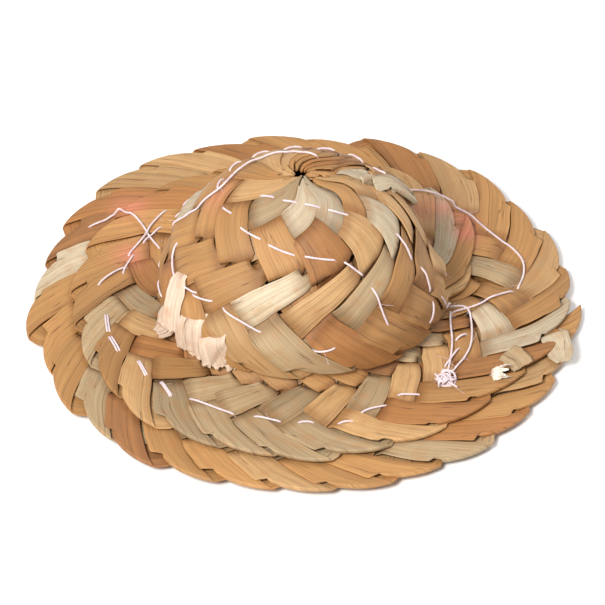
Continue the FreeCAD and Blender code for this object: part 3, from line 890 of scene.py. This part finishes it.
END_SHAPE = (40, 15)  # points along and across
END_THICKNESS = 0.22
END_HEIGHT = 0.5  # over the strips beneath
END_ARCH = 0.3  # most that its middle is higher than its edges
END_SMOOTHING = 80  # passes
WAVE_LENGTH = 0.6  # of its uneven edges and its crumples, as a share of its length
EDGE_WAVES = 0.05
TEAR_SPACING = 0.9  # with the end's width as 2
CRUMPLE_SLANT = 0.3  # how askew its crumples run
NARROWING = 2.5  # how late it narrows
TWISTED, TORN_FROM = 0.5, 0.5  # shares of its length
ARCH_SHARES = (0.4, 1.0)
END_FIBRES = 12.0  # length for the fibres' pattern
ENDS_APART = 3.0  # from one seed's fibre pattern to the next one's
SEED_STEP = 5


def loose_strip(tree, root, tip, width, rise, tear, tip_share, crumple, seed):
    """A torn leaf end that lies on the hat at its root and lifts towards its tip."""
    rng = np.random.default_rng(seed)
    rows, columns = END_SHAPE
    share, xi = np.meshgrid(np.linspace(0, 1, rows), np.linspace(-1, 1, columns), indexing="ij")
    line, normal = surface_points(tree, [between(root, tip, s) for s in share[:, 0]])
    line, normal = smoothed(line, END_SMOOTHING), smoothed(normal, PATH_PASSES)
    along = np.gradient(line, axis=0)
    turn = TIP_TURN * ease(share[:, :1] / TWISTED)
    across = np.cross(normal + turn * TURNED_TO, along)
    across /= np.linalg.norm(across, axis=1, keepdims=True)
    narrowed = np.clip((share - (1.0 - TIP_RUN)) / TIP_RUN, 0.0, 1.0)
    size = 1.0 - (1.0 - tip_share) * narrowed ** NARROWING
    size = size * (1.0 + EDGE_WAVES * waves(seed, share, WAVE_LENGTH))
    torn = tear * (waves(seed + 1, xi, TEAR_SPACING) - 1.0) * ease((share - TORN_FROM) / (1.0 - TORN_FROM))
    height = END_HEIGHT + rise * ease(share) + END_ARCH * (1 - xi ** 2) * rng.uniform(*ARCH_SHARES)
    height = height + crumple * waves(seed + 2, share + CRUMPLE_SLANT * xi, WAVE_LENGTH)
    height = height - ROOT_DIP * (1.0 - ease((share + ROOT_SLANT * xi) / ROOT_RUN))
    index = np.clip(share + torn, 0, 1) * (len(line) - 1)
    position = np.stack([np.interp(index, np.arange(len(line)), line[:, k]) for k in range(3)], axis=-1)
    position += across[:, None] * (xi * width * size * TIP_SPREAD / 2)[..., None]
    position += normal[:, None] * height[..., None]
    fibre = np.stack(np.broadcast_arrays(share * END_FIBRES, xi * width / 2, seed * ENDS_APART), axis=-1)
    return position, np.full(xi.shape, END_THICKNESS), fibre


def make_loose_end(name, node, tree, ends, crumple, material, seed):
    """One mesh of the torn leaf ends that a node holds."""
    parts = []
    for i, (*shape, colour) in enumerate(ends):
        middle, thickness, fibre = loose_strip(tree, *shape, crumple, seed + SEED_STEP * i)
        points, faces = strip_shell(middle, thickness)
        fibres = np.tile(fibre.reshape(-1, 3), BOTH_FACES)
        parts.append((points, faces.tolist(), np.hstack([fibres, np.tile(colour, (len(points), 1))])))
    points, faces, looks = joined(parts)
    piece = new_mesh(name, points, faces, material)
    vectors_of(piece.data, "fibre", looks[:, :3])
    colours_of(piece.data, "tint", looks[:, 3:])
    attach(piece, BODY)
    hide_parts(node)


def make_loose_ends(tree, material):
    """Every node of loose ends, with how crumpled they are and the seed of their unevenness."""
    groups = [
        ("left_loose_leaf_ends", "strips", LEFT_TIPS, 0.08, 100),
        ("crumpled_leaf_end", "strip", [CRUMPLED_END], 0.3, 130),
        ("right_loose_leaf_end", "strip", [RIGHT_TIP], 0.1, 150),
        ("cut_leaf_ends", "strips", CUT_ENDS, 0.1, 160),
    ]
    for node, kind, ends, crumple, seed in groups:
        make_loose_end(f"{node}_{kind}", node, tree, ends, crumple, material, seed)


# -------- materials
# Noises over the fibre coordinates, as (scale along, across and from strip to strip), detail and roughness.
FINE = ((0.022, 3.6, 1.0), 5.0, 0.75)
COARSE = ((0.03, 0.9, 1.0), 3.0, 0.55)
BLOTCH = ((0.30, 0.40, 1.0), 3.0, 0.55)
FLECK = ((0.8, 3.5, 1.0), 2.0, 0.6)
SPLIT = ((0.02, 0.95, 2.0), 1.0, 0.4)
COTTON = ((0.5, 1.0, 1.0), 2.0, 0.55)
# What a noise does from a low to a high value, as (low, high, effect at low, effect at high).
FINE_LIGHT = (0.3, 0.7, 0.70, 1.16)
COARSE_LIGHT = (0.3, 0.7, 0.84, 1.12)
WARM_SHARE = (0.48, 0.75, 0.0, 0.5)
SPECK_SHARE = (0.66, 0.78, 0.0, 0.4)
CRACK_SHARE = (0.0, 0.010, 0.75, 0.0)
SPLIT_LEVEL = 0.56  # the noise's value along a crack
LEAF_BUMP, COTTON_BUMP = (0.55, 0.00012), (0.4, 0.00006)  # strength and distance
LEAF_ROUGHNESS, PALE_ROUGHNESS = 0.58, 0.66
SPECK = linear(122, 82, 50)
CRACK = linear(96, 62, 36)
COTTON_LIGHT = linear(228, 211, 210)
COTTON_LILAC = linear(204, 185, 194)


def opaque(colour):
    return (*colour, 1.0)


class Shader:
    """A new material, with short ways to add nodes. Inputs take numbers, colours or other outputs."""

    def __init__(self, name):
        self.material = bpy.data.materials.new(name)
        self.material.use_nodes = True
        self.tree = self.material.node_tree

    def feed(self, node, values):
        """Give a node's inputs, by name or number, their values."""
        for key, value in values.items():
            if isinstance(value, bpy.types.NodeSocket):
                self.tree.links.new(value, node.inputs[key])
            else:
                node.inputs[key].default_value = value

    def add(self, kind, output, values, **settings):
        """One output of a new node."""
        node = self.tree.nodes.new(kind)
        for name, setting in settings.items():
            setattr(node, name, setting)
        self.feed(node, values)
        return node.outputs[output]

    def noise(self, scale, detail, roughness):
        fibre = self.add("ShaderNodeAttribute", "Vector", {}, attribute_name="fibre")
        place = self.add("ShaderNodeVectorMath", 0, {0: fibre, 1: scale}, operation="MULTIPLY")
        values = {"Vector": place, "Scale": 1.0, "Detail": detail, "Roughness": roughness}
        return self.add("ShaderNodeTexNoise", "Fac", values)

    def ranged(self, value, low, high, to_low, to_high):
        """The value stretched from one range to another, held at the ends."""
        values = {"Value": value, "From Min": low, "From Max": high, "To Min": to_low, "To Max": to_high}
        return self.add("ShaderNodeMapRange", "Result", values)

    def combined(self, operation, first, second=0.0):
        return self.add("ShaderNodeMath", 0, {0: first, 1: second}, operation=operation)

    def blended(self, share, first, second):
        """A colour mixed between two; sockets 6 and 7 are the node's colours, and output 2."""
        return self.add("ShaderNodeMix", 2, {"Factor": share, 6: first, 7: second}, data_type="RGBA")

    def scaled(self, colour, value):
        return self.add("ShaderNodeVectorMath", 0, {0: colour, "Scale": value}, operation="SCALE")

    def bump(self, height, strength, distance):
        values = {"Height": height, "Strength": strength, "Distance": distance}
        return self.add("ShaderNodeBump", "Normal", values)

    def finished(self, values):
        """The material, once its surface has its values."""
        self.feed(self.tree.nodes["Principled BSDF"], values)
        return self.material


def leaf_material(name, roughness):
    """Dried leaf: fibres and cracks along it, blotches, brown flecks and a faint gloss."""
    shader = Shader(name)
    fine = shader.noise(*FINE)
    coarse = shader.ranged(shader.noise(*COARSE), *COARSE_LIGHT)
    light = shader.combined("MULTIPLY", shader.ranged(fine, *FINE_LIGHT), coarse)
    from_crack = shader.combined("SUBTRACT", shader.noise(*SPLIT), SPLIT_LEVEL)
    crack = shader.ranged(shader.combined("ABSOLUTE", from_crack), *CRACK_SHARE)
    warm = shader.ranged(shader.noise(*BLOTCH), *WARM_SHARE)
    speck = shader.ranged(shader.noise(*FLECK), *SPECK_SHARE)
    tint = shader.add("ShaderNodeAttribute", "Color", {}, attribute_name="tint")
    colour = shader.scaled(tint, light)
    for share, layer in ((warm, DEEP), (speck, SPECK), (crack, CRACK)):
        colour = shader.blended(share, colour, opaque(layer))
    return shader.finished({
        "Base Color": colour,
        "Roughness": shader.ranged(fine, 0.25, 0.75, roughness - 0.1, roughness + 0.14),
        "Normal": shader.bump(shader.combined("SUBTRACT", fine, crack), *LEAF_BUMP),
        "Specular IOR Level": 0.42,
        "Subsurface Weight": 0.05,
        "Subsurface Radius": (1.0, 0.55, 0.25),
        "Subsurface Scale": 0.0006,
    })


def thread_material():
    """White cotton with a faint lilac cast and fine fluff."""
    shader = Shader("cotton_thread")
    lilac = shader.ranged(shader.noise(*COTTON), 0.35, 0.65, 0.0, 1.0)
    fluff = shader.add("ShaderNodeTexNoise", "Fac", {"Scale": 6000.0, "Detail": 3.0})
    return shader.finished({
        "Base Color": shader.blended(lilac, opaque(COTTON_LIGHT), opaque(COTTON_LILAC)),
        "Roughness": shader.ranged(fluff, 0.3, 0.7, 0.7, 0.95),
        "Normal": shader.bump(fluff, *COTTON_BUMP),
        "Sheen Weight": 0.25,
    })


def table_material():
    """Matt white, very slightly uneven in gloss."""
    shader = Shader("white_table")
    grain = shader.add("ShaderNodeTexNoise", "Fac", {"Scale": 40.0})
    return shader.finished({
        "Base Color": opaque(TABLE_WHITE),
        "Roughness": shader.ranged(grain, 0.3, 0.7, 0.62, 0.72),
    })


# -------- studio
VIEW_DISTANCE = 1.6
VIEW_ELEVATION = 40.5
VIEW_WIDTH = 0.121  # width of the picture at the hat
SENSOR = 36.0  # millimetres, like the lens
AIM_HEIGHT = 0.0038
CLIP = (0.01, 20.0)
TABLE_SIZE = 6.0
TABLE_DROP = 0.0002  # how far the table lies under the hat
TABLE_WHITE = (0.93, 0.93, 0.93)
SKY_WHITE = (1.0, 1.0, 1.0)
SKY_STRENGTH = 0.43
# Lights as (name, place, size, watts, colour).
LIGHTS = [
    ("key_light", (-0.32, -0.55, 0.66), 0.3, 10.8, (1.0, 0.98, 0.96)),
    ("fill_light", (0.45, 0.35, 0.55), 0.6, 2.8, (1.0, 0.98, 0.97)),
]


def make_camera():
    """The photo's camera, far in front of the hat and looking down at it."""
    elevation = math.radians(VIEW_ELEVATION)
    data = bpy.data.cameras.new("camera")
    data.sensor_width = SENSOR
    data.lens = SENSOR * VIEW_DISTANCE / VIEW_WIDTH
    data.clip_start, data.clip_end = CLIP
    camera = bpy.data.objects.new("camera", data)
    back = Vector((0.0, -math.cos(elevation), math.sin(elevation)))
    camera.location = Vector((0.0, 0.0, AIM_HEIGHT)) + back * VIEW_DISTANCE
    camera.rotation_euler = (-back).to_track_quat("-Z", "Y").to_euler()
    bpy.context.scene.collection.objects.link(camera)
    bpy.context.scene.camera = camera


def make_area_light(name, location, size, power, colour):
    data = bpy.data.lights.new(name, "AREA")
    data.shape = "SQUARE"
    data.size = size
    data.energy = power
    data.color = colour
    light = bpy.data.objects.new(name, data)
    light.location = location
    light.rotation_euler = (-Vector(location)).to_track_quat("-Z", "Y").to_euler()
    bpy.context.scene.collection.objects.link(light)


def make_studio():
    bpy.ops.mesh.primitive_plane_add(size=TABLE_SIZE, location=(0, 0, -TABLE_DROP))
    floor = bpy.context.object
    floor.name = "table_top"
    floor.data.materials.append(table_material())

    world = bpy.data.worlds.new("studio")
    bpy.context.scene.world = world
    world.use_nodes = True
    sky = world.node_tree.nodes["Background"]
    sky.inputs["Color"].default_value = opaque(SKY_WHITE)
    sky.inputs["Strength"].default_value = SKY_STRENGTH
    for light in LIGHTS:
        make_area_light(*light)
    bpy.context.scene.view_settings.view_transform = "Standard"


# -------- the hat
def main():
    straw = leaf_material("dried_leaf", LEAF_ROUGHNESS)
    pale = leaf_material("pale_dried_leaf", PALE_ROUGHNESS)
    cotton = thread_material()
    strips = make_leaves(straw)
    tree = surface_tree(strips)
    make_threads(tree, cotton)
    make_knot(tree, cotton)
    make_loose_ends(tree, pale)
    make_camera()
    make_studio()


main()
